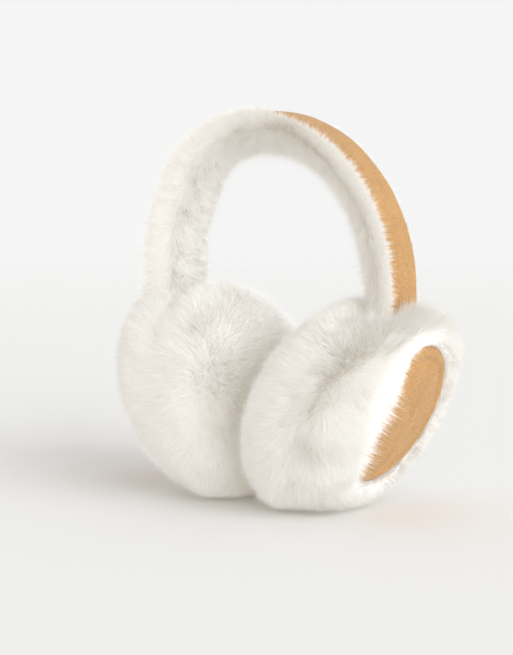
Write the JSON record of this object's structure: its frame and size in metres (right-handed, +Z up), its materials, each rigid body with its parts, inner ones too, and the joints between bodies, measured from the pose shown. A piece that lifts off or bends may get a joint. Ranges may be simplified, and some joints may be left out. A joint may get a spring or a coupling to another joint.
{
  "type": "fur earmuffs",
  "caption": "Fur earmuffs: a suede-covered headband lined with deep fur between puffed fur ear pads with domed suede discs, standing on the pads.",
  "frame": {"origin": "on the surface the pads stand on, below the middle of the outline; the pads meet 4.5 mm to the left of it", "axes": "+X from the left pad to the right pad, +Z up to the top of the headband, front at -Y"},
  "size_m": [0.1802, 0.1164, 0.2018],
  "materials": {
    "fur": "deep soft white pile",
    "suede": "matt tan nap"
  },
  "bodies": {
    "root": {"headband_suede": "suede", "headband_fur": "fur", "ear_pad_fur_right": "fur", "ear_pad_fur_left": "fur", "suede_disc_right": "suede", "suede_disc_left": "suede"}
  },
  "joints": []
}
